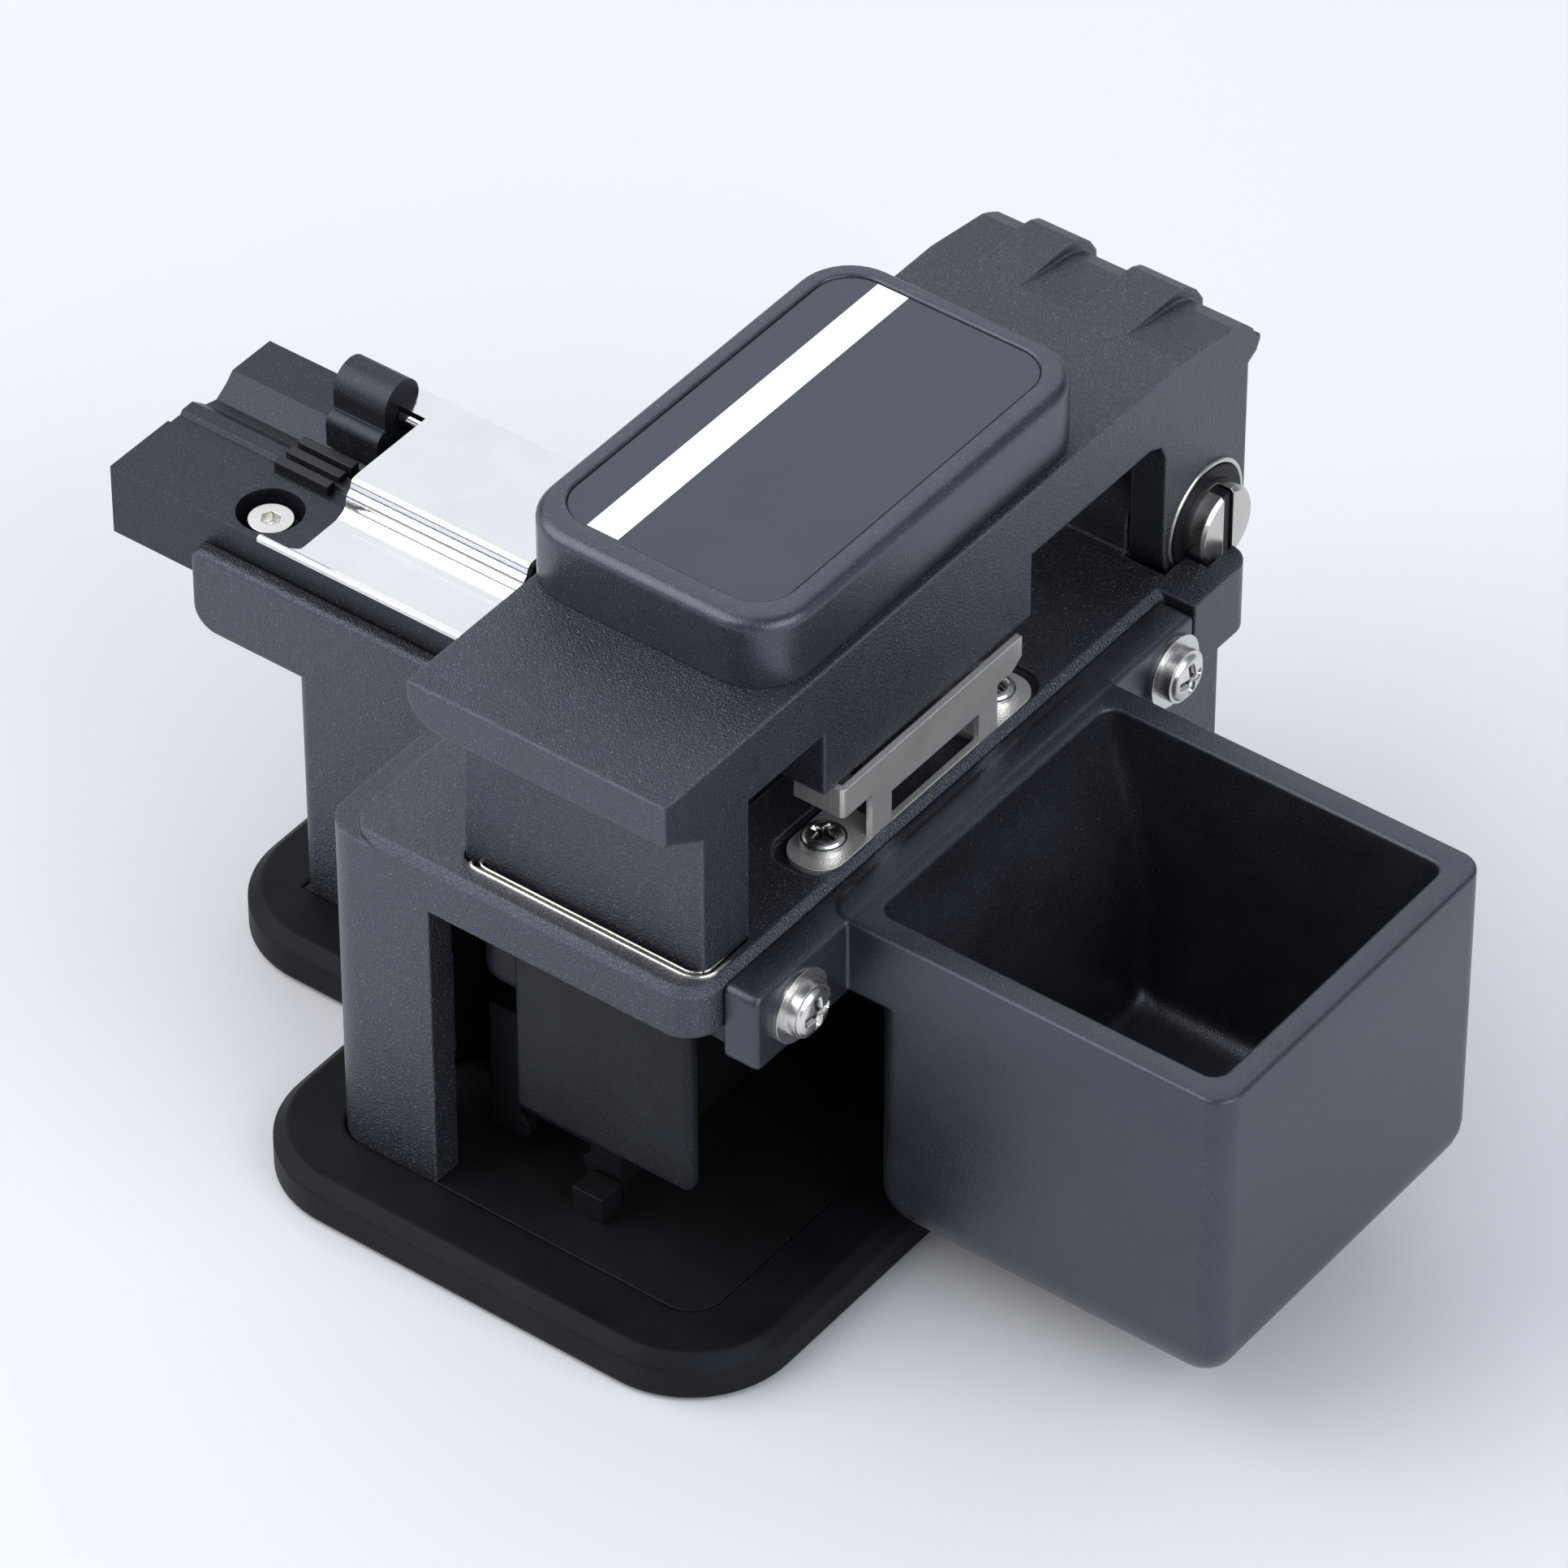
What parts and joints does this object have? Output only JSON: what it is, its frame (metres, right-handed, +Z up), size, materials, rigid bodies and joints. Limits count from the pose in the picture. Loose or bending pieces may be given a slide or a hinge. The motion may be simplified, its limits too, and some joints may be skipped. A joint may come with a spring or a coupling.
{
  "type": "optical fibre cleaver",
  "caption": "Bench fibre cleaver: black metal body with a hinged lever, a thumb-pushed scoring slide, a clamping fibre holder on the left and an open scrap box on the right.",
  "frame": {"origin": "on the resting plane, at the middle of the whole tool in X and Y", "axes": "+Z up; +X along the fibre, from the holder to the scrap box; +Y from the push block to the lever's pivot"},
  "size_m": [0.1162, 0.0826, 0.0643],
  "materials": {
    "rubber": "matte",
    "cast_black": "satin",
    "screw_steel": "polished",
    "holder_anodised": "anodised satin",
    "strip_rubber": "matte",
    "black_screw": "satin",
    "lid_steel": "polished",
    "magnet": "polished",
    "box_plastic": "satin",
    "guide_steel": "brushed",
    "rail_steel": "brushed",
    "slider_metal": "satin",
    "blade_steel": "ground",
    "cap_plastic": "satin",
    "label": "gloss",
    "pin_steel": "satin",
    "carrier_metal": "satin",
    "anvil_steel": "ground",
    "spring_steel": "satin"
  },
  "bodies": {
    "base": {"base_casting": "cast_black", "base_plate": "cast_black", "base_screws": "screw_steel", "rubber_pad": "rubber", "rubber_feet": "rubber", "fibre_holder": "holder_anodised", "holder_strips": "strip_rubber", "holder_screw": "black_screw", "clamp_hinge_pin": "screw_steel", "clamp_magnet": "magnet", "scrap_box": "box_plastic", "scrap_box_screws": "screw_steel", "scrap_box_washers": "screw_steel", "guide_bracket": "guide_steel", "guide_screws": "screw_steel", "lower_pads": "strip_rubber", "slide_rail": "rail_steel", "rail_screws": "black_screw", "slide_stops": "rubber", "deck_magnet": "magnet", "pivot_pin": "pin_steel", "arm_spring": "spring_steel"},
    "lever": {"arm": "cast_black", "arm_cap": "cap_plastic", "cap_screws": "black_screw", "label_plate": "label", "pivot_bushing_right": "pin_steel", "pivot_bushing_left": "pin_steel", "pad_carrier": "carrier_metal", "upper_pads": "strip_rubber", "arm_magnet": "magnet", "anvil_spring": "spring_steel"},
    "anvil": {"anvil": "anvil_steel"},
    "slider": {"slider_carriage": "slider_metal", "push_block": "slider_metal", "blade_holder": "slider_metal", "blade_axle": "screw_steel"},
    "blade": {"blade_wheel": "blade_steel"},
    "clamp": {"clamp_lid": "lid_steel", "clamp_lid_pad": "strip_rubber"}
  },
  "joints": [
    {"name": "lever_hinge", "type": "hinge", "parent": "base", "child": "lever", "pos_m": [0.0061, 0.03405, 0.03985], "axis": [-1, 0, 0], "range_deg": [0, 65]},
    {"name": "slide_push", "type": "slide", "parent": "base", "child": "slider", "axis": [0, 1, 0], "range_m": [0, 0.02]},
    {"name": "blade_index", "type": "hinge", "parent": "slider", "child": "blade", "pos_m": [0.0067, -0.01225, 0.03005], "axis": [1, 0, 0], "continuous": true},
    {"name": "clamp_hinge", "type": "hinge", "parent": "base", "child": "clamp", "pos_m": [-0.0293, 0.00515, 0.0405], "axis": [-1, 0, 0], "range_deg": [0, 110]},
    {"name": "anvil_press", "type": "slide", "parent": "lever", "child": "anvil", "axis": [0, 0, 1], "range_m": [0, 0.0008], "stiffness_N_per_m": 200, "springref_m": -0.0005, "deforming": ["anvil_spring"]}
  ]
}
